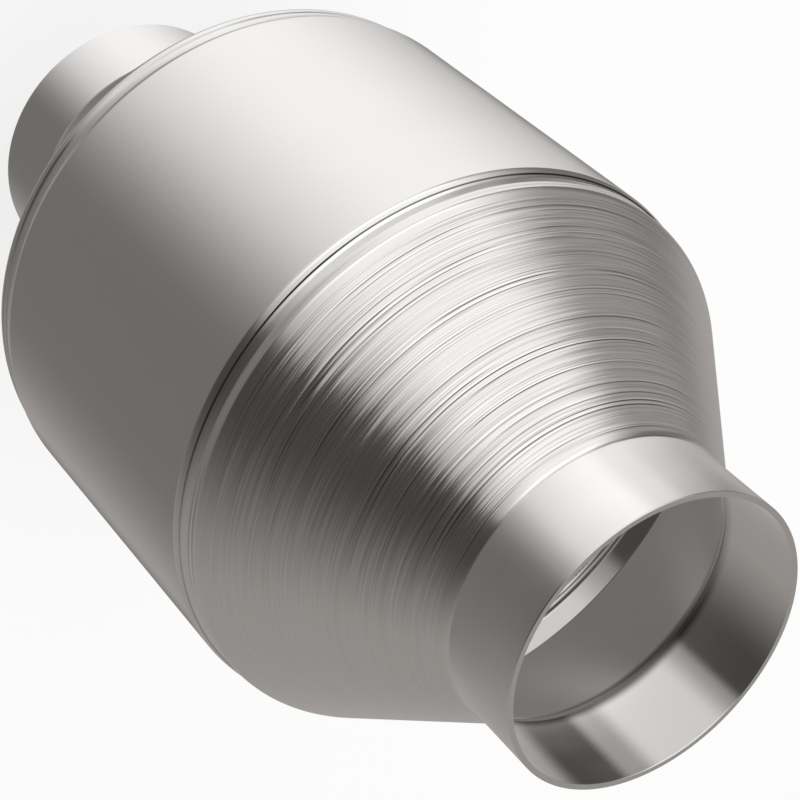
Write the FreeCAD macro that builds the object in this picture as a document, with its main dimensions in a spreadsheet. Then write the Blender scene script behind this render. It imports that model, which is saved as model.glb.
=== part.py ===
import FreeCAD, Part
import os
import Sketcher

# A round catalytic converter in a one-piece spun shell.
# It stands on its inlet neck: the origin is the centre of that neck's rim and +Z runs along the gas path.
# Every body is drawn about the converter's middle plane and then lifted by half the overall length.

# Driving sizes, in millimetres: name, value, meaning
SIZES = [
    ("neck_diameter", 66.0, "outside of both necks"),
    ("neck_length", 20.8, "straight neck, from its rim to the corner with the cone"),
    ("neck_blend", 4.0, "outside radius where the neck turns into the cone"),
    ("wall", 1.2, "sheet thickness of the spun shell"),
    ("body_diameter", 127.0, "outside of the barrel"),
    ("cone_length", 42.9, "axial length of each cone"),
    ("cone_drop", 1.4, "how far the cone's wide end lies inside the barrel's surface"),
    ("band_run", 4.1, "axial length from the cone's wide end to the crest of the shoulder's band"),
    ("band_drop", 0.88, "depth of the band's crest under the barrel's surface"),
    ("crease_run", 2.1, "axial length from the band to the crease"),
    ("crease_drop", 1.04, "depth of the crease under the barrel's surface"),
    ("crest_run", 2.0, "axial length from the crease to the barrel's corner"),
    ("brick_length", 76.2, "length of the ceramic honeycomb"),
    ("brick_setback", 0.15, "from each end of the honeycomb to the barrel's corner"),
    ("brick_skin", 1.2, "solid skin round the honeycomb"),
    ("cell_pitch", 11.43, "spacing of the channels, nine times the real spacing"),
    ("cell_web", 1.485, "wall between two channels, nine times the real wall"),
    ("mat_gap", 3.1, "radial space between the honeycomb and the shell"),
    ("mat_clearance", 0.05, "left free at each side of the mat and the seals"),
    ("mat_slit", 0.6, "gap along the joint where the mat's ends meet"),
    ("tongue_width", 22.0, "axial width of the tongue in that joint"),
    ("tongue_reach", 18.0, "how far the tongue reaches round the honeycomb"),
    ("seal_length", 4.5, "axial length of each wire seal"),
    ("seal_inset", 1.3, "from each end of the honeycomb to its seal"),
    ("seal_clearance", 0.1, "between each seal and the mat's edge"),
]

# Places worked out from the sizes, as expressions
NECK_OUTER = "(Sizes.neck_diameter / 2)"
NECK_INNER = f"({NECK_OUTER} - Sizes.wall)"
BODY_OUTER = "(Sizes.body_diameter / 2)"
BODY_INNER = f"({BODY_OUTER} - Sizes.wall)"
BODY_CORNER = "(Sizes.brick_length / 2 + Sizes.brick_setback)"
CREASE = f"({BODY_CORNER} + Sizes.crest_run)"
BAND = f"({CREASE} + Sizes.crease_run)"
CONE_END = f"({BAND} + Sizes.band_run)"
NECK_CORNER = f"({CONE_END} + Sizes.cone_length)"
RIM = f"({NECK_CORNER} + Sizes.neck_length)"
MAT_OUTER = f"({BODY_INNER} - Sizes.mat_clearance)"
MAT_INNER = f"({BODY_INNER} - Sizes.mat_gap + Sizes.mat_clearance)"
BRICK_OUTER = f"({BODY_INNER} - Sizes.mat_gap)"
BRICK_CORE = f"({BRICK_OUTER} - Sizes.brick_skin / 2)"
SEAL_TOP = "(Sizes.brick_length / 2 - Sizes.seal_inset)"
SEAL_FOOT = f"({SEAL_TOP} - Sizes.seal_length)"
MAT_HALF = f"({SEAL_FOOT} - Sizes.seal_clearance)"

doc = FreeCAD.newDocument("catalytic_converter")


def make_sheet():
    """The driving sizes, one row each."""
    sheet = doc.addObject("Spreadsheet::Sheet", "Sizes")
    for row, (name, value, meaning) in enumerate(SIZES, start=1):
        sheet.set(f"A{row}", name)
        sheet.set(f"B{row}", str(value))
        sheet.set(f"C{row}", meaning)
        sheet.setAlias(f"B{row}", name)
    doc.recompute()
    return sheet


def value_of(expression):
    """The number that an expression gives with the sheet's present sizes."""
    return float(sheet.evalExpression(expression))


def new_body(name, turned=False):
    """A body about the middle plane, lifted to its place and, where asked, turned end for end."""
    body = doc.addObject("PartDesign::Body", name)
    body.Label = name
    if turned:
        end_for_end = FreeCAD.Rotation(FreeCAD.Vector(1, 0, 0), 180)
        body.Placement = FreeCAD.Placement(FreeCAD.Vector(0, 0, 0), end_for_end)
    body.setExpression("Placement.Base.z", RIM)
    return body


def origin_plane(body, role):
    """One of a body's own origin planes or axes, found by its role."""
    return next(item for item in body.Origin.OriginFeatures if item.Role == role)


def new_sketch(body, name, role):
    """An empty sketch on one of the body's origin planes."""
    sketch = body.newObject("Sketcher::SketchObject", name)
    sketch.AttachmentSupport = [(origin_plane(body, role), "")]
    sketch.MapMode = "FlatFace"
    return sketch


def hold(sketch, kind, line, size, name, expression):
    """Dimension a line's start from the sketch origin and bind it to its expression."""
    index = sketch.addConstraint(Sketcher.Constraint(kind, -1, 1, line, 1, size))
    sketch.renameConstraint(index, name)
    sketch.setExpression(f"Constraints.{name}", expression)


def draw_outline(sketch, corners):
    """Straight lines round a closed outline of (name, x, y) corners, each held by its two expressions."""
    points = [FreeCAD.Vector(value_of(x), value_of(y), 0) for name, x, y in corners]
    lines = []
    for start, end in zip(points, points[1:] + points[:1]):
        lines.append(sketch.addGeometry(Part.LineSegment(start, end), False))
    for line, following in zip(lines, lines[1:] + lines[:1]):
        sketch.addConstraint(Sketcher.Constraint("Coincident", line, 2, following, 1))
    for line, point, (name, x, y) in zip(lines, points, corners):
        hold(sketch, "DistanceX", line, point.x, f"{name}_x", x)
        hold(sketch, "DistanceY", line, point.y, f"{name}_y", y)


def draw_circle(sketch, name, radius):
    """A circle about the sketch origin whose radius follows an expression."""
    size = value_of(radius)
    circle = sketch.addGeometry(Part.Circle(FreeCAD.Vector(0, 0, 0), FreeCAD.Vector(0, 0, 1), size), False)
    sketch.addConstraint(Sketcher.Constraint("Coincident", circle, 3, -1, 1))
    index = sketch.addConstraint(Sketcher.Constraint("Radius", circle, size))
    sketch.renameConstraint(index, name)
    sketch.setExpression(f"Constraints.{name}", radius)


def revolve(body, sketch, name):
    """A full turn of the sketch about its own upright axis."""
    turned = body.newObject("PartDesign::Revolution", name)
    turned.Profile = sketch
    turned.ReferenceAxis = (sketch, ["V_Axis"])
    turned.Angle = 360
    return turned


def pad_about_middle(body, sketch, name, length):
    """A pad of the sketch, half of it on each side of the middle plane."""
    pad = body.newObject("PartDesign::Pad", name)
    pad.Profile = sketch
    pad.SideType = "Symmetric"
    pad.setExpression("Length", length)
    return pad


def round_corner(sketch, corner, name, radius):
    """Round the outline's corner where a line starts, and bind the arc's radius to its expression."""
    arc = sketch.GeometryCount
    size = value_of(radius)
    sketch.fillet(corner, 1, size, True, True)
    index = sketch.addConstraint(Sketcher.Constraint("Radius", arc, size))
    sketch.renameConstraint(index, name)
    sketch.setExpression(f"Constraints.{name}", radius)


def make_shell():
    """Barrel, shoulders, cones and necks as one sheet: half of its profile revolved, then mirrored."""
    body = new_body("shell")
    sketch = new_sketch(body, "shell_profile", "XZ_Plane")
    cone_angle = f"atan(({BODY_OUTER} - Sizes.cone_drop - {NECK_OUTER}) / Sizes.cone_length)"
    inner_shift = f"(Sizes.wall * tan({cone_angle} / 2))"
    inner_neck_corner = f"({NECK_CORNER} - {inner_shift})"
    inner_cone_end = f"({CONE_END} - {inner_shift})"
    corners = [
        ("inner_middle", BODY_INNER, "0"),
        ("outer_middle", BODY_OUTER, "0"),
        ("outer_corner", BODY_OUTER, BODY_CORNER),
        ("outer_crease", f"{BODY_OUTER} - Sizes.crease_drop", CREASE),
        ("outer_band", f"{BODY_OUTER} - Sizes.band_drop", BAND),
        ("outer_cone_end", f"{BODY_OUTER} - Sizes.cone_drop", CONE_END),
        ("outer_neck_corner", NECK_OUTER, NECK_CORNER),
        ("outer_rim", NECK_OUTER, RIM),
        ("inner_rim", NECK_INNER, RIM),
        ("inner_neck_corner", NECK_INNER, inner_neck_corner),
        ("inner_cone_end", f"{BODY_INNER} - Sizes.cone_drop", inner_cone_end),
        ("inner_crease", f"{BODY_INNER} - Sizes.crease_drop", CREASE),
        ("inner_corner", BODY_INNER, BODY_CORNER),
    ]
    draw_outline(sketch, corners)
    neck_corner = [name for name, x, y in corners].index("outer_neck_corner")
    round_corner(sketch, neck_corner, "neck_blend", "Sizes.neck_blend")
    half = revolve(body, sketch, "half_shell")
    mirror = body.newObject("PartDesign::Mirrored", "both_halves")
    mirror.Originals = [half]
    mirror.MirrorPlane = (origin_plane(body, "XY_Plane"), [""])
    body.Tip = mirror
    doc.recompute()
    return body


def make_honeycomb():
    """A ceramic cylinder, square channels cut right through it in a grid, and a solid skin round the grid."""
    body = new_body("honeycomb")
    disc = new_sketch(body, "core_disc", "XY_Plane")
    draw_circle(disc, "core_radius", BRICK_CORE)
    pad_about_middle(body, disc, "core", "Sizes.brick_length")
    doc.recompute()

    near = "(Sizes.cell_web / 2)"
    far = "(Sizes.cell_pitch - Sizes.cell_web / 2)"
    square = new_sketch(body, "cell_square", "XY_Plane")
    draw_outline(square, [
        ("near_near", near, near),
        ("far_near", far, near),
        ("far_far", far, far),
        ("near_far", near, far),
    ])
    cell = body.newObject("PartDesign::Pocket", "cell")
    cell.Profile = square
    cell.SideType = "Symmetric"
    cell.Type = "ThroughAll"
    doc.recompute()

    quarter = doc.addObject("PartDesign::LinearPattern", "cell_quarter")
    quarter.Direction = (origin_plane(body, "X_Axis"), [""])
    quarter.Direction2 = (origin_plane(body, "Y_Axis"), [""])
    quarter.Mode = "Spacing"
    quarter.Mode2 = "Spacing"
    quarter.setExpression("Offset", "Sizes.cell_pitch")
    quarter.setExpression("Offset2", "Sizes.cell_pitch")
    quarter.setExpression("Occurrences", f"ceil({BRICK_CORE} / Sizes.cell_pitch)")
    quarter.setExpression("Occurrences2", f"ceil({BRICK_CORE} / Sizes.cell_pitch)")
    sideways = doc.addObject("PartDesign::Mirrored", "cells_sideways")
    sideways.MirrorPlane = (origin_plane(body, "YZ_Plane"), [""])
    backwards = doc.addObject("PartDesign::Mirrored", "cells_backwards")
    backwards.MirrorPlane = (origin_plane(body, "XZ_Plane"), [""])
    grid = body.newObject("PartDesign::MultiTransform", "cell_grid")
    grid.Originals = [cell]
    for step in (quarter, sideways, backwards):
        body.addObject(step)
    grid.Transformations = [quarter, sideways, backwards]
    body.Tip = grid
    doc.recompute()

    ring = new_sketch(body, "skin_ring", "XY_Plane")
    draw_circle(ring, "skin_outer", BRICK_OUTER)
    draw_circle(ring, "skin_inner", f"{BRICK_OUTER} - Sizes.brick_skin")
    pad_about_middle(body, ring, "skin", "Sizes.brick_length")
    return body


def make_mat():
    """The fibre mat as a sleeve, open along the tongue-and-slot joint where its two ends meet."""
    body = new_body("support_mat")
    ring = new_sketch(body, "mat_ring", "XY_Plane")
    draw_circle(ring, "mat_outer", MAT_OUTER)
    draw_circle(ring, "mat_inner", MAT_INNER)
    pad_about_middle(body, ring, "sleeve", f"2 * {MAT_HALF}")
    doc.recompute()

    past_end = f"({MAT_HALF} + Sizes.mat_slit)"
    tongue = "(Sizes.tongue_width / 2)"
    slot = f"({tongue} + Sizes.mat_slit)"
    joint = new_sketch(body, "mat_joint", "XZ_Plane")
    draw_outline(joint, [
        ("foot_left", "0", f"-{past_end}"),
        ("foot_right", "Sizes.mat_slit", f"-{past_end}"),
        ("low_notch", "Sizes.mat_slit", f"-{slot}"),
        ("low_tip", "Sizes.tongue_reach + Sizes.mat_slit", f"-{slot}"),
        ("high_tip", "Sizes.tongue_reach + Sizes.mat_slit", slot),
        ("high_notch", "Sizes.mat_slit", slot),
        ("head_right", "Sizes.mat_slit", past_end),
        ("head_left", "0", past_end),
        ("high_root", "0", tongue),
        ("high_tongue", "Sizes.tongue_reach", tongue),
        ("low_tongue", "Sizes.tongue_reach", f"-{tongue}"),
        ("low_root", "0", f"-{tongue}"),
    ])
    slit = body.newObject("PartDesign::Pocket", "joint_slit")
    slit.Profile = joint
    slit.Reversed = True
    slit.setExpression("Length", BODY_OUTER)
    return body


def make_seal(name, turned):
    """A ring of knitted wire that fills the gap between the honeycomb and the shell beside the mat."""
    body = new_body(name, turned)
    sketch = new_sketch(body, f"{name}_section", "XZ_Plane")
    draw_outline(sketch, [
        ("inner_foot", MAT_INNER, SEAL_FOOT),
        ("outer_foot", MAT_OUTER, SEAL_FOOT),
        ("outer_top", MAT_OUTER, SEAL_TOP),
        ("inner_top", MAT_INNER, SEAL_TOP),
    ])
    revolve(body, sketch, f"{name}_ring")
    return body


def check(bodies):
    """Stop if any object failed to build or a piece has no sound solid."""
    for item in doc.Objects:
        if "Invalid" in item.State or "Error" in item.State:
            raise RuntimeError(f"{item.Label} failed: {item.State}")
    for body in bodies:
        if body.Shape.isNull() or not body.Shape.isValid() or not body.Shape.Solids:
            raise RuntimeError(f"{body.Label} has no sound solid")


sheet = make_sheet()
pieces = [
    make_shell(),
    make_honeycomb(),
    make_mat(),
    make_seal("inlet_seal", turned=True),
    make_seal("outlet_seal", turned=False),
]
doc.recompute()
check(pieces)

os.makedirs("parts", exist_ok=True)
for piece in pieces:
    piece.Shape.exportStep(os.path.join("parts", f"{piece.Label}.step"))
    box = piece.Shape.BoundBox
    print(f"{piece.Label}: {piece.Shape.Volume / 1000:.2f} cm3, z {box.ZMin:.2f} to {box.ZMax:.2f},"
          f" x {box.XMin:.2f} to {box.XMax:.2f}, {len(piece.Shape.Faces)} faces")
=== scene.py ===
"""A round catalytic converter in satin stainless steel, standing on its inlet neck.

Lengths are in millimetres and turned to metres where a mesh is made or the camera is placed. Only the
studio's floor and lamp are given in metres. Heights run up from the inlet rim. A depth runs from either rim
towards the middle, because both ends of the converter are alike.
"""
import math
from functools import partial

import bpy
import numpy as np
from mathutils import Matrix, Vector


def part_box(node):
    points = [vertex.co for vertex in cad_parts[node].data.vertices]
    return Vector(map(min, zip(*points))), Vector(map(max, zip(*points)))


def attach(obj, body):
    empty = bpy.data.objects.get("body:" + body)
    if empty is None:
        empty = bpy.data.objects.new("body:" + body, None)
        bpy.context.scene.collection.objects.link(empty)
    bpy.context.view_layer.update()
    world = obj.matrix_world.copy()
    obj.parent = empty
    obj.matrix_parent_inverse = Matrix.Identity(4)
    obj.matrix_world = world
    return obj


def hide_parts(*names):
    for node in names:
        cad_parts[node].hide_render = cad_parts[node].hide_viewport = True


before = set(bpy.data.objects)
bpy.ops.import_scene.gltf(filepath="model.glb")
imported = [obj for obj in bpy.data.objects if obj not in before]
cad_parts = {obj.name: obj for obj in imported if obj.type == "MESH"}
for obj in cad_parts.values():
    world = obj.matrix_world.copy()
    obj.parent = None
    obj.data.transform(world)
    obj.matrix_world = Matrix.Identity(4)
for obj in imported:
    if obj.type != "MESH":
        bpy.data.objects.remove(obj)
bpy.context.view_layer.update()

MM = 0.001

# Sizes that the frame gives
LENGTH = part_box("shell")[1].z / MM
BODY_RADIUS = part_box("shell")[1].x / MM
MIDDLE = LENGTH / 2
BRICK_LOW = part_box("honeycomb")[0].z / MM
BRICK_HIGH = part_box("honeycomb")[1].z / MM
BRICK_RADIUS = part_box("honeycomb")[1].x / MM
MAT_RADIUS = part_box("support_mat")[1].x / MM

# The shell's sheet, the neck's outside, and the depth at which the neck's inside meets its cone
WALL = 1.2
NECK_RADIUS = 33.0
INNER_NECK_DEPTH = 21.17

# Corners of the shell's outside and of its inside, from a rim to the barrel: depth, radius, and the radius
# of the arc that rounds the corner
OUTER_CORNERS = [
    (0.0, NECK_RADIUS, 0.15),
    (20.8, NECK_RADIUS, 4.0),
    (64.6, 62.72, 3.0),
    (66.9, 62.20, 3.0),
    (68.9, 62.51, 4.0),
    (69.6, 62.70, 0.08),
    (69.8, 63.00, 0.08),
    (71.0, BODY_RADIUS, 3.2),
]
INNER_CORNERS = [
    (0.0, NECK_RADIUS - WALL, 0.15),
    (INNER_NECK_DEPTH, NECK_RADIUS - WALL, 2.5),
    (64.3, 61.07, 0.5),
    (69.7, 60.85, 1.0),
    (71.8, BODY_RADIUS - WALL, 1.5),
]

# The shell's mesh: steps round the axis, rows along each cone, and points on each rounded corner
TURN_STEPS = 256
CONE_ROWS = 32
ARC_STEPS = 6

# Depths where the roller's rings start and end, how far a ring's painted highlight lies from its groove, and
# the depth of the crease beside the shoulder
RINGS_START = 21.6
RINGS_END = 63.0
EDGE_OFFSET = 0.24
CREASE = 69.7

# Painted shade in bends inside the shell, past its neck: depth, reach to each side, and strength from 0 to 1
INNER_BENDS = [(64.3, 0.3, 0.8), (70.6, 1.0, 0.9), (72.6, 0.4, 0.9)]

# Level directions of the side with the brightest reflections, where the rings' painted shade and highlight
# are strongest, and of the side with the darkest painted shade in a bend inside
BRIGHT_REFLECTION_SIDE = (-0.5, -0.87, 0)
DARK_BEND_SIDE = (0.71, 0.71, 0)

# The real honeycomb: 400 channels in a square inch, their walls, and the rim in which they are closed
CELL_PITCH = 1.27
CELL_WALL = 0.165
BRICK_SKIN = 4.5

# Height and width of one stitch of the knitted seals
STITCH_HEIGHT = 0.5
STITCH_WIDTH = 0.6

# Steel colours: the sheet, a ring's painted highlight, the painted shade of a ring's groove, grain and
# crease, and the painted shade of a bend inside
SHEET_COLOUR = "#CFCECB"
RING_HIGHLIGHT_COLOUR = "#FAF9F7"
GROOVE_COLOUR = "#3A3937"
BEND_SHADE_COLOUR = "#4A4947"

# Camera worked out from the photograph's perspective: place, tilt and roll in degrees, lens and sensor
CAMERA_PLACE = (-0.35, -349.56, 468.73)
CAMERA_TILT = 44.174
CAMERA_ROLL = 133.27
CAMERA_LENS = 103.57
SENSOR_WIDTH = 36.0

# Studio panels for the metal to mirror. Each line gives what the panel does, its strength, the bearing of
# its middle from the front towards +X, its reach to the left and right of that, its low and high elevation,
# and how softly its left, right, low and high edges fade, all in degrees. "light" adds to the room's own
# light, and "shade" takes a share of the light away.
ROOM_LIGHT = 0.43
PANELS = [
    ("light", 1.00, -34, 42, 32, -26, 65, (30, 46, 6, 20)),
    ("light", 0.50, -34, 30, 32, -40, -12, (16, 20, 3, 6)),
    ("light", 1.00, -62, 62, 46, -72, -36, (100, 96, 16, 2)),
    ("shade", 0.82, 40, 29, 29, -37, 65, (9, 70, 4, 20)),
    ("shade", 0.46, 60, 55, 60, -76, -38, (50, 60, 20, 2)),
    ("shade", 0.82, -106, 30, 20, -37, -31, (30, 12, 2.5, 5)),
    ("shade", 0.45, -106, 30, 14, -31, -10, (30, 12, 5, 12)),
    ("shade", 0.50, 180, 28, 28, -100, -40, (20, 20, 10, 6)),
]

# Factors on the studio's light where it is dim and where a panel is bright
DIM_TINT = (1.04, 1.0, 0.975, 1.0)
BRIGHT_TINT = (1.006, 1.0, 1.012, 1.0)

# What the camera sees behind the converter, and the share of plain white in what it sees of the floor
BACKGROUND = (0.98, 0.98, 0.98, 1.0)
WHITE_SHARE = 0.8

# The floor from its middle to each side, and the overhead lamp: its width, height and watts
FLOOR_REACH = 4.0
LAMP_WIDTH = 1.6
LAMP_HEIGHT = 1.8
LAMP_POWER = 18.0


# Shader nodes

# Settings of a range that is left and reached smoothly
SMOOTH = {"interpolation_type": "SMOOTHSTEP"}


def linear(code):
    """An sRGB hex colour as linear red, green, blue and alpha."""
    parts = [int(code[i:i + 2], 16) / 255 for i in (1, 3, 5)]
    return [p / 12.92 if p <= 0.04045 else ((p + 0.055) / 1.055) ** 2.4 for p in parts] + [1.0]


def set_inputs(node, inputs):
    """Gives a node's sockets their values or links.

    inputs is a list for the node's first sockets, or a dict by socket name or number. Each of them is a
    value, another node's output, or another node, which stands for its first output.
    """
    sockets = inputs if isinstance(inputs, dict) else dict(enumerate(inputs))
    for name, value in sockets.items():
        source = value.outputs[0] if isinstance(value, bpy.types.Node) else value
        if isinstance(source, bpy.types.NodeSocket):
            node.id_data.links.new(source, node.inputs[name])
        else:
            node.inputs[name].default_value = source


def add_node(tree, kind, inputs=(), **settings):
    """Adds one shader node with its settings and its inputs, as set_inputs takes them."""
    node = tree.nodes.new("ShaderNode" + kind)
    for name, value in settings.items():
        setattr(node, name, value)
    set_inputs(node, inputs)
    return node


def new_material(name):
    """A named material, its Principled shader, and add_node for its own node tree."""
    material = bpy.data.materials.new(name)
    material.use_nodes = True
    tree = material.node_tree
    return material, tree.nodes["Principled BSDF"], partial(add_node, tree)


def stretch(across, along):
    """Factors that divide a place by one length across the axis and by another along it."""
    return (1 / across, 1 / across, 1 / along)


def object_millimetres(add):
    """Object coordinates in millimetres."""
    place = add("TexCoord").outputs["Object"]
    return add("VectorMath", {0: place, "Scale": 1 / MM}, operation="SCALE")


def distance_from(add, value, mark):
    """How far a value is from a mark, to either side."""
    return add("Math", [add("Math", [value, mark], operation="SUBTRACT")], operation="ABSOLUTE")


def height_and_depth(add, place):
    """The height of a place, and its depth from the nearer rim."""
    height = add("SeparateXYZ", [place]).outputs["Z"]
    depth = add("Math", [MIDDLE, distance_from(add, height, MIDDLE)], operation="SUBTRACT")
    return height, depth


def facing(add, place, direction):
    """How much a place on the round body faces a level direction, from -1 on the other side to 1."""
    outward = add("VectorMath", [place, (1, 1, 0)], operation="MULTIPLY")
    outward = add("VectorMath", [outward], operation="NORMALIZE")
    return add("VectorMath", [outward, direction], operation="DOT_PRODUCT").outputs["Value"]


# Meshes

def rounded_path(corners, before, after, margin=0.2, least=0.01):
    """(height, radius) points through corners, each turned by an arc of its own rounding.

    The arc touches both runs at R tan(turn / 2) from the corner. A point just outside each end of the arc
    keeps the straight runs flat when they are shaded smooth. It lies margin away, or less where a run is
    short, and never closer than least. The corners before and after the path only give it its directions
    there.
    """
    points = np.array([corner[:2] for corner in [before, *corners, after]], float)
    path = []
    for last, corner, following, (_, _, radius) in zip(points, points[1:], points[2:], corners):
        back_run = np.linalg.norm(last - corner)
        ahead_run = np.linalg.norm(following - corner)
        back = (last - corner) / back_run
        ahead = (following - corner) / ahead_run
        half_turn = (math.pi - math.acos(np.clip(back @ ahead, -1, 1))) / 2
        reach = radius * math.tan(half_turn)
        support = max(min(margin, back_run / 2 - reach, ahead_run / 2 - reach), least)
        bisector = (back + ahead) / np.linalg.norm(back + ahead)
        centre = corner + bisector * math.hypot(radius, reach)
        swing = np.linspace(-half_turn, half_turn, ARC_STEPS)[:, None]
        side = (ahead - back) / np.linalg.norm(ahead - back)
        arc = centre - radius * np.cos(swing) * bisector + radius * np.sin(swing) * side
        path.append(np.vstack([corner + back * (reach + support), arc, corner + ahead * (reach + support)]))
    return np.vstack(path)


def mesh_object(name, vertices, faces, material, node):
    """An object at the origin that stands for a CAD node, rides with it and stays out of mirror rays."""
    mesh = bpy.data.meshes.new(name)
    mesh.vertices.add(len(vertices))
    mesh.vertices.foreach_set("co", (vertices * MM).astype(np.float32).ravel())
    mesh.loops.add(faces.size)
    mesh.loops.foreach_set("vertex_index", faces.astype(np.int32).ravel())
    mesh.polygons.add(len(faces))
    mesh.polygons.foreach_set("loop_start", np.arange(0, faces.size, faces.shape[1], dtype=np.int32))
    mesh.update(calc_edges=True)
    mesh.validate()
    mesh.materials.append(material)
    piece = bpy.data.objects.new(name, mesh)
    bpy.context.scene.collection.objects.link(piece)
    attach(piece, "root")
    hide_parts(node)
    piece.visible_glossy = False
    return piece


def ring_faces(rows, columns):
    """Quads of a grid that closes on itself both ways, seen from outside."""
    row, column = np.meshgrid(np.arange(rows), np.arange(columns), indexing="ij")
    next_row, next_column = (row + 1) % rows, (column + 1) % columns
    corners = [row * columns + column, row * columns + next_column,
               next_row * columns + next_column, next_row * columns + column]
    return np.stack(corners, -1).reshape(-1, 4)


def shell_profile():
    """One closed loop of (height, radius) points, and for each whether it lies on the outside.

    It runs up the outside from the inlet rim and down the inside. The long runs along the cones are cut into
    short rows, so that they shade evenly.
    """
    far_outer = [(LENGTH - depth, radius, rounding) for depth, radius, rounding in OUTER_CORNERS[::-1]]
    far_inner = [(LENGTH - depth, radius, rounding) for depth, radius, rounding in INNER_CORNERS]
    outside = rounded_path(OUTER_CORNERS + far_outer, before=INNER_CORNERS[0], after=far_inner[0])
    inside = rounded_path(far_inner + INNER_CORNERS[::-1], before=far_outer[-1], after=OUTER_CORNERS[0])
    loop = np.vstack([outside, inside])
    following = np.roll(loop, -1, axis=0)
    is_cone = np.abs(following[:, 1] - loop[:, 1]) > NECK_RADIUS / 2
    steps = np.where(is_cone, CONE_ROWS, 1)
    share = np.concatenate([np.arange(count) / count for count in steps])[:, None]
    profile = np.repeat(loop, steps, axis=0) * (1 - share) + np.repeat(following, steps, axis=0) * share
    return profile, np.repeat(np.arange(len(loop)) < len(outside), steps)


def make_shell(outside_finish, inside_finish):
    """The spun shell: its closed profile turned once round the axis and shaded smooth.

    x = r sin(a), y = -r cos(a) and z = height, for angle a and each profile point.
    """
    profile, outside = shell_profile()
    angle = np.linspace(0, 2 * math.pi, TURN_STEPS, endpoint=False)
    height = np.repeat(profile[:, :1], TURN_STEPS, axis=1)
    radius = np.repeat(profile[:, 1:], TURN_STEPS, axis=1)
    vertices = np.stack([radius * np.sin(angle), -radius * np.cos(angle), height], -1).reshape(-1, 3)
    faces = ring_faces(*height.shape)
    piece = mesh_object("spun_shell", vertices, faces, outside_finish, "shell")
    piece.data.materials.append(inside_finish)
    piece.data.polygons.foreach_set("material_index", np.repeat(~outside, TURN_STEPS).astype(np.int32))
    piece.data.shade_smooth()


def make_honeycomb(material):
    """The ceramic honeycomb: a square grid of walls between two end faces, filled at its skin.

    Grid corners outside the brick are drawn in to its radius, so squares that lie partly outside end on the
    circle. A square whose corners all lie inside the skin gets a channel right through it.
    """
    count = math.ceil(BRICK_RADIUS / CELL_PITCH)
    line = np.arange(-count, count + 1) * CELL_PITCH
    grid = np.stack(np.meshgrid(line, line, indexing="ij"), -1)
    reach = np.linalg.norm(grid, axis=-1, keepdims=True)
    flat = (grid * np.minimum(1, BRICK_RADIUS / np.maximum(reach, 1e-9))).reshape(-1, 2)
    reach = reach.reshape(-1)

    row, column = np.meshgrid(np.arange(2 * count), np.arange(2 * count), indexing="ij")
    first = (row * (2 * count + 1) + column).ravel()
    square = np.stack([first, first + 2 * count + 1, first + 2 * count + 2, first + 1], -1)
    kept = square[(reach[square] < BRICK_RADIUS).any(1)]
    open_cell = (reach[kept] < BRICK_RADIUS - BRICK_SKIN).all(1)
    cells, filled = kept[open_cell], kept[~open_cell]

    centre = flat[cells].mean(1, keepdims=True)
    holes = centre + (flat[cells] - centre) * (1 - CELL_WALL / CELL_PITCH)
    level = np.vstack([flat, holes.reshape(-1, 2)])
    hole = len(flat) + np.arange(4 * len(cells)).reshape(-1, 4)
    bottom = np.column_stack([level, np.full(len(level), BRICK_LOW)])
    top = np.column_stack([level, np.full(len(level), BRICK_HIGH)])
    lift = len(level)

    around = np.roll(np.arange(4), -1)
    rims = np.stack([cells, cells[:, around], hole[:, around], hole], -1).reshape(-1, 4)
    walls = np.stack([hole, hole[:, around], hole[:, around] + lift, hole + lift], -1).reshape(-1, 4)
    ends = np.vstack([rims, filled])
    edges = np.stack([kept, kept[:, around]], -1).reshape(-1, 2)
    _, where, uses = np.unique(np.sort(edges, 1), axis=0, return_index=True, return_counts=True)
    border = edges[where[uses == 1]]
    side = np.stack([border[:, 0], border[:, 1], border[:, 1] + lift, border[:, 0] + lift], -1)
    faces = np.vstack([ends + lift, ends[:, ::-1], walls[:, ::-1], side])
    used, faces = np.unique(faces, return_inverse=True)
    vertices = np.vstack([bottom, top])[used]
    faces = faces.reshape(-1, 4)
    mesh_object("ceramic_honeycomb", vertices, faces, material, "honeycomb")


# Materials

def spin_lines(add, height, fading_place, spacing, width):
    """Rings left by the spinning roller, from 0 to 1.

    There is one ring in each spacing, of its own depth, and it comes and goes along its way round.
    """
    level = add("Math", [height, spacing], operation="DIVIDE")
    rings = add("TexVoronoi", {"W": level, "Scale": 1.0}, voronoi_dimensions="1D")
    ring = add("MapRange", [rings.outputs["Distance"], width / spacing, 0.3 * width / spacing], **SMOOTH)
    depth = add("SeparateColor", [rings.outputs["Color"]])
    strength = add("MapRange", [depth, 0.0, 0.9, 0.1, 1.0], **SMOOTH)
    fade = add("TexNoise", {"Vector": fading_place, "Scale": 1.0, "Detail": 1.0})
    fade = add("MapRange", [fade, 0.38, 0.58], **SMOOTH)
    strength = add("Math", [strength, fade], operation="MULTIPLY")
    return add("Math", [ring, strength], operation="MULTIPLY")


def satin_sheet(name, smoothest, roughest):
    """Satin stainless sheet, drawn smooth: soft-edged mirror images, a little uneven in their sheen."""
    material, shader, add = new_material(name)
    place = object_millimetres(add)
    sheen_place = add("VectorMath", [place, stretch(30.0, 9.0)], operation="MULTIPLY")
    sheen = add("TexNoise", {"Vector": sheen_place, "Scale": 1.0, "Detail": 3.0})
    rough = add("MapRange", [sheen, 0.3, 0.7, smoothest, roughest], **SMOOTH)
    set_inputs(shader, {"Metallic": 1.0, "Roughness": rough})
    return material, shader, add, place


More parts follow.
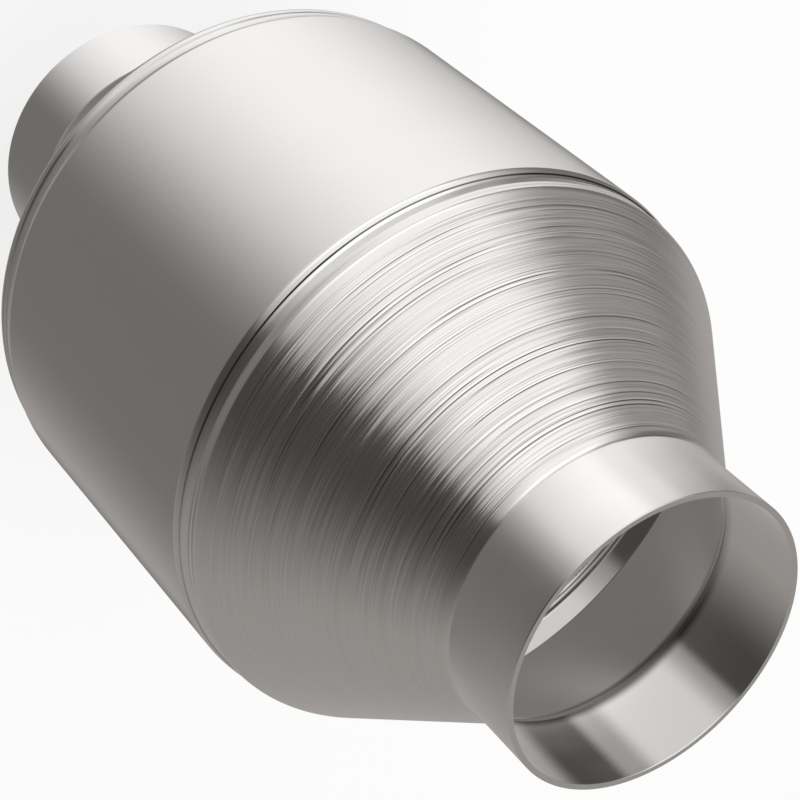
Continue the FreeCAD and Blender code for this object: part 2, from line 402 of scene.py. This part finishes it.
def spun_stainless():
    """The outside: satin sheet with the roller's rings on its cones and a crease beside each shoulder,
    painted dark as shade.

    Each ring is a fine groove in relief, painted dark as shade, with a painted highlight beside it. Both are
    painted strongest on one side, whose reflections are brightest, and the cone's darker grain is painted
    strongest there too. The crease's painted shade is darkest along both edges of that side. A brushed lay
    swings the cone's reflections to and fro along the rings. The real lay is finer than a tenth of a
    millimetre, and it is drawn a few tenths wide so that it shows.
    """
    material, shader, add, place = satin_sheet("satin_spun_stainless", 0.17, 0.20)
    height, depth = height_and_depth(add, place)
    past_neck = add("MapRange", [depth, RINGS_START - 0.6, RINGS_START + 0.8], **SMOOTH)
    before_shoulder = add("MapRange", [depth, RINGS_END + 0.6, RINGS_END - 0.8], **SMOOTH)
    on_cone = add("Math", [past_neck, before_shoulder], operation="MULTIPLY")
    side = facing(add, place, BRIGHT_REFLECTION_SIDE)

    # Painted shade in the rings' grooves, and painted highlights on their edges, which are the same rings a
    # little lower. Both are strongest on the side whose reflections are brightest.
    pressed = add("MapRange", [side, 0.42, 0.82, 0.07, 1.0], **SMOOTH)
    pressed = add("Math", [pressed, on_cone], operation="MULTIPLY")
    strong_place = add("VectorMath", [place, stretch(30.0, 1.2)], operation="MULTIPLY")
    fine_place = add("VectorMath", [place, stretch(25.0, 0.5)], operation="MULTIPLY")
    rings = []
    for level in (height, add("Math", [height, EDGE_OFFSET], operation="ADD")):
        strong = spin_lines(add, level, strong_place, spacing=0.95, width=0.15)
        fine = spin_lines(add, level, fine_place, spacing=0.4, width=0.1)
        fine = add("Math", [fine, 0.5], operation="MULTIPLY")
        both = add("Math", [strong, fine], operation="MAXIMUM")
        rings.append(add("Math", [both, pressed], operation="MULTIPLY"))
    groove, edge = rings
    edge = add("Math", [edge, 0.8], operation="MULTIPLY")
    sheet = add("Mix", {0: edge, 6: linear(SHEET_COLOUR), 7: linear(RING_HIGHLIGHT_COLOUR)}, data_type="RGBA")

    # Darker grain along the rings, random in tone, painted strongest as shade on the side whose reflections
    # are brightest
    grain_place = add("VectorMath", [place, stretch(60.0, 0.3)], operation="MULTIPLY")
    grain = add("TexNoise", {"Vector": grain_place, "Scale": 1.0, "Detail": 2.0, "Roughness": 0.7})
    grain_and_painted_shade = add("MapRange", [grain, 0.5, 0.72, 0.0, 0.3], **SMOOTH)
    painted_grain_side = add("MapRange", [side, 0.42, 0.82, 0.25, 1.0], **SMOOTH)
    grain_and_painted_shade = add("Math", [grain_and_painted_shade, painted_grain_side], operation="MULTIPLY")
    grain_and_painted_shade = add("Math", [grain_and_painted_shade, on_cone], operation="MULTIPLY")

    # Painted shade in the crease, weaker away from the side whose reflections are brightest and at its very
    # middle
    near_side = add("MapRange", [side, 0.1, 0.6, 0.3, 1.0], **SMOOTH)
    off_middle = add("MapRange", [side, 0.93, 1.0, 1.0, 0.45], **SMOOTH)
    crease_shade_by_side = add("Math", [near_side, off_middle], operation="MULTIPLY")
    crease = add("MapRange", [distance_from(add, depth, CREASE), 0.18, 0.06], **SMOOTH)
    crease = add("Math", [crease_shade_by_side, crease], operation="MULTIPLY")

    # The painted shade of grooves, grain and crease darkens the sheet
    shade = add("Math", [groove, 0.9], operation="MULTIPLY")
    shade = add("Math", [shade, grain_and_painted_shade], operation="MAXIMUM")
    shade = add("Math", [shade, crease], operation="MAXIMUM")
    colour = add("Mix", {0: shade, 6: sheet.outputs[2], 7: linear(GROOVE_COLOUR)}, data_type="RGBA")

    # Brushed lay, which tilts the surface along the rings, and the relief of groove and grain
    lay_place = add("VectorMath", [place, stretch(40.0, 0.45)], operation="MULTIPLY")
    lay = add("TexNoise", {"Vector": lay_place, "Scale": 1.0, "Detail": 3.0, "Roughness": 0.75})
    swing = add("Math", [lay, 0.5], operation="SUBTRACT")
    swing = add("Math", [swing, 0.36], operation="MULTIPLY")
    swing = add("Math", [swing, on_cone], operation="MULTIPLY")
    tangent = add("Tangent", direction_type="RADIAL", axis="Z")
    turned = add("VectorMath", {0: tangent, "Scale": swing}, operation="SCALE")
    tilted = add("VectorMath", [add("NewGeometry").outputs["Normal"], turned], operation="ADD")
    tilted = add("VectorMath", [tilted], operation="NORMALIZE")
    relief = add("Math", [groove, -0.8, grain], operation="MULTIPLY_ADD")
    bump = add("Bump", {"Height": relief, "Strength": on_cone, "Distance": 0.02 * MM, "Normal": tilted})
    set_inputs(shader, {"Base Color": colour.outputs[2], "Normal": bump})
    return material


def inside_stainless():
    """The inside: smoother sheet without rings, with painted shade in its bends, the neck's most of all on
    one side.
    """
    material, shader, add, place = satin_sheet("smooth_stainless_inside", 0.10, 0.12)
    _, depth = height_and_depth(add, place)
    neck_strength = add("MapRange", [facing(add, place, DARK_BEND_SIDE), 0.0, 0.6, 0.35, 0.95], **SMOOTH)
    shade = 0.0
    for bend, reach, strength in [(INNER_NECK_DEPTH, 3.2, neck_strength), *INNER_BENDS]:
        away = distance_from(add, depth, bend)
        dark = add("MapRange", [away, reach, reach / 5, 0.0, strength], **SMOOTH)
        shade = add("Math", [shade, dark], operation="MAXIMUM")
    colour = add("Mix", {0: shade, 6: linear(SHEET_COLOUR), 7: linear(BEND_SHADE_COLOUR)}, data_type="RGBA")
    set_inputs(shader, {"Base Color": colour.outputs[2]})
    return material


def washcoated_ceramic():
    """Extruded cordierite with its catalyst wash: matt, porous, pale, browner where the wash is thick."""
    material, shader, add = new_material("washcoated_cordierite")
    place = object_millimetres(add)
    cloud = add("TexNoise", {"Vector": place, "Scale": 0.09, "Detail": 4.0})
    pores = add("TexNoise", {"Vector": place, "Scale": 4.0, "Detail": 2.0})
    share = add("Math", [cloud, 0.65], operation="MULTIPLY")
    share = add("Math", [pores, 0.35, share], operation="MULTIPLY_ADD")
    share = add("MapRange", [share, 0.38, 0.62], **SMOOTH)
    colour = add("Mix", {0: share, 6: linear("#C2B7A4"), 7: linear("#DAD3C6")}, data_type="RGBA")
    bump = add("Bump", {"Height": pores, "Strength": 0.5, "Distance": 0.05 * MM})
    set_inputs(shader, {"Base Color": colour.outputs[2], "Roughness": 0.9, "Normal": bump})
    return material


def ceramic_felt():
    """The mat: pressed ceramic fibre, off-white, with fine crossing strands and darker specks of binder."""
    material, shader, add = new_material("ceramic_fibre_felt")
    place = object_millimetres(add)
    strands = []
    for across, along in ((1.6, 0.18), (0.22, 1.8)):
        strand_place = add("VectorMath", [place, stretch(across, along)], operation="MULTIPLY")
        strands.append(add("TexNoise", {"Vector": strand_place, "Scale": 1.0, "Detail": 3.0}))
    felt = add("Math", strands, operation="MAXIMUM")
    share = add("MapRange", [felt, 0.45, 0.7], **SMOOTH)
    specks = add("TexVoronoi", {"Vector": place, "Scale": 0.55})
    clear = add("MapRange", [specks.outputs["Distance"], 0.12, 0.05, 1.0, 0.4], **SMOOTH)
    share = add("Math", [share, clear], operation="MULTIPLY")
    colour = add("Mix", {0: share, 6: linear("#C7BFAE"), 7: linear("#ECE8DE")}, data_type="RGBA")
    bump = add("Bump", {"Height": felt, "Strength": 0.7, "Distance": 0.15 * MM})
    set_inputs(shader, {"Base Color": colour.outputs[2], "Roughness": 0.95, "Normal": bump})
    return material


def knitted_wire():
    """The seals: fine stainless wire, knitted and pressed, pale on the loops, with painted shade between
    them.
    """
    material, shader, add = new_material("knitted_stainless_wire")
    place = add("SeparateXYZ", [object_millimetres(add)])
    back = add("Math", [place.outputs["Y"], -1.0], operation="MULTIPLY")
    around = add("Math", [place.outputs["X"], back], operation="ARCTAN2")
    around = add("Math", [around, MAT_RADIUS], operation="MULTIPLY")
    stitch = add("Math", [around, STITCH_WIDTH], operation="DIVIDE")
    stitch = add("Math", [stitch, 1.0], operation="PINGPONG")
    row = add("Math", [place.outputs["Z"], STITCH_HEIGHT], operation="DIVIDE")
    zigzag = add("Math", [stitch, 0.8, row], operation="MULTIPLY_ADD")
    wire = add("MapRange", [add("Math", [zigzag, 0.5], operation="PINGPONG"), 0.06, 0.4], **SMOOTH)
    colour = add("Mix", {0: wire, 6: linear("#6B6A67"), 7: linear("#B9B8B5")}, data_type="RGBA")
    bump = add("Bump", {"Height": wire, "Strength": 0.6, "Distance": 0.08 * MM})
    set_inputs(shader, {"Base Color": colour.outputs[2], "Metallic": 1.0, "Roughness": 0.32, "Normal": bump})
    return material


# Studio

def make_floor():
    """A near-white floor with the converter's faint shadow.

    It stays out of the metal's reflections, which show the studio's panels. Most of what the camera sees of
    it is plain white light, so that it is as pale as the photograph's ground.
    """
    corners = [(-FLOOR_REACH, -FLOOR_REACH, 0), (FLOOR_REACH, -FLOOR_REACH, 0),
               (FLOOR_REACH, FLOOR_REACH, 0), (-FLOOR_REACH, FLOOR_REACH, 0)]
    mesh = bpy.data.meshes.new("floor")
    mesh.from_pydata(corners, [], [(0, 1, 2, 3)])
    floor = bpy.data.objects.new("floor", mesh)
    bpy.context.scene.collection.objects.link(floor)
    material, shader, add = new_material("pale_studio_floor")
    set_inputs(shader, {"Base Color": linear("#F2F2F1"), "Roughness": 0.9, "Specular IOR Level": 0.0})
    seen = add("LightPath").outputs["Is Camera Ray"]
    share = add("Math", [seen, WHITE_SHARE], operation="MULTIPLY")
    white = add("Emission", {"Color": linear("#FFFFFF"), "Strength": 1.0})
    surface = add("MixShader", [share, shader, white])
    set_inputs(material.node_tree.nodes["Material Output"], {"Surface": surface})
    mesh.materials.append(material)
    floor.visible_glossy = False


def panel_share(add, bearing, elevation, middle, left, right, low, high, soft):
    """How far a direction lies on one soft-edged panel, from 0 to 1."""
    offset = add("Math", [bearing, middle], operation="SUBTRACT")
    offset = add("Math", [offset, 180.0, -180.0], operation="WRAP")
    edges = [(offset, -left, soft[0]), (offset, right, -soft[1]),
             (elevation, low, soft[2]), (elevation, high, -soft[3])]
    share = 1.0
    for angle, edge, width in edges:
        inside = add("MapRange", [angle, edge - width / 2, edge + width / 2], **SMOOTH)
        share = add("Math", [share, inside], operation="MULTIPLY")
    return share


def make_world():
    """A studio of soft panels round an even room, whose dim parts are a little warmer than its panels.

    The camera itself sees plain near-white.
    """
    world = bpy.data.worlds.new("studio")
    bpy.context.scene.world = world
    world.use_nodes = True
    add = partial(add_node, world.node_tree)
    direction = add("SeparateXYZ", [add("TexCoord").outputs["Generated"]])
    back = add("Math", [direction.outputs["Y"], -1.0], operation="MULTIPLY")
    bearing = add("Math", [direction.outputs["X"], back], operation="ARCTAN2")
    bearing = add("Math", [bearing], operation="DEGREES")
    elevation = add("Math", [direction.outputs["Z"]], operation="ARCSINE")
    elevation = add("Math", [elevation], operation="DEGREES")
    light = ROOM_LIGHT
    for effect, strength, *place in PANELS:
        share = panel_share(add, bearing, elevation, *place)
        if effect == "light":
            light = add("Math", [share, strength, light], operation="MULTIPLY_ADD")
        else:
            kept = add("Math", [share, -strength, 1.0], operation="MULTIPLY_ADD")
            light = add("Math", [light, kept], operation="MULTIPLY")
    warmth = add("MapRange", [light, 0.35, 0.85], **SMOOTH)
    tint = add("Mix", {0: warmth, 6: DIM_TINT, 7: BRIGHT_TINT}, data_type="RGBA")
    tinted = add("VectorMath", {0: tint.outputs[2], "Scale": light}, operation="SCALE")
    seen = add("LightPath").outputs["Is Camera Ray"]
    shown = add("Mix", {0: seen, 6: tinted, 7: BACKGROUND}, data_type="RGBA")
    set_inputs(world.node_tree.nodes["Background"], {"Color": shown.outputs[2]})


def make_lamp():
    """A wide soft lamp overhead that brings the floor and the ceramic to their own colours."""
    data = bpy.data.lights.new("overhead", "AREA")
    data.shape = "DISK"
    data.size = LAMP_WIDTH
    data.energy = LAMP_POWER
    lamp = bpy.data.objects.new("overhead", data)
    bpy.context.scene.collection.objects.link(lamp)
    lamp.matrix_world = Matrix.Translation((0.0, 0.0, LAMP_HEIGHT))
    lamp.visible_glossy = False


def make_camera():
    """The camera at the photograph's place, tilt, roll and lens."""
    data = bpy.data.cameras.new("camera")
    data.lens = CAMERA_LENS
    data.sensor_width = SENSOR_WIDTH
    data.clip_start = 0.01
    camera = bpy.data.objects.new("camera", data)
    bpy.context.scene.collection.objects.link(camera)
    tilt = Matrix.Rotation(math.radians(90 - CAMERA_TILT), 4, "X")
    roll = Matrix.Rotation(math.radians(CAMERA_ROLL), 4, "Z")
    camera.matrix_world = Matrix.Translation([v * MM for v in CAMERA_PLACE]) @ tilt @ roll
    bpy.context.scene.camera = camera


make_shell(spun_stainless(), inside_stainless())
make_honeycomb(washcoated_ceramic())
seal_finish = knitted_wire()
plain_nodes = [("support_mat", ceramic_felt()), ("inlet_seal", seal_finish), ("outlet_seal", seal_finish)]
for node, finish in plain_nodes:
    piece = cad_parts[node]
    piece.data.materials.clear()
    piece.data.materials.append(finish)
    piece.visible_glossy = False

make_floor()
make_world()
make_lamp()
make_camera()
bpy.context.scene.view_settings.view_transform = "Standard"
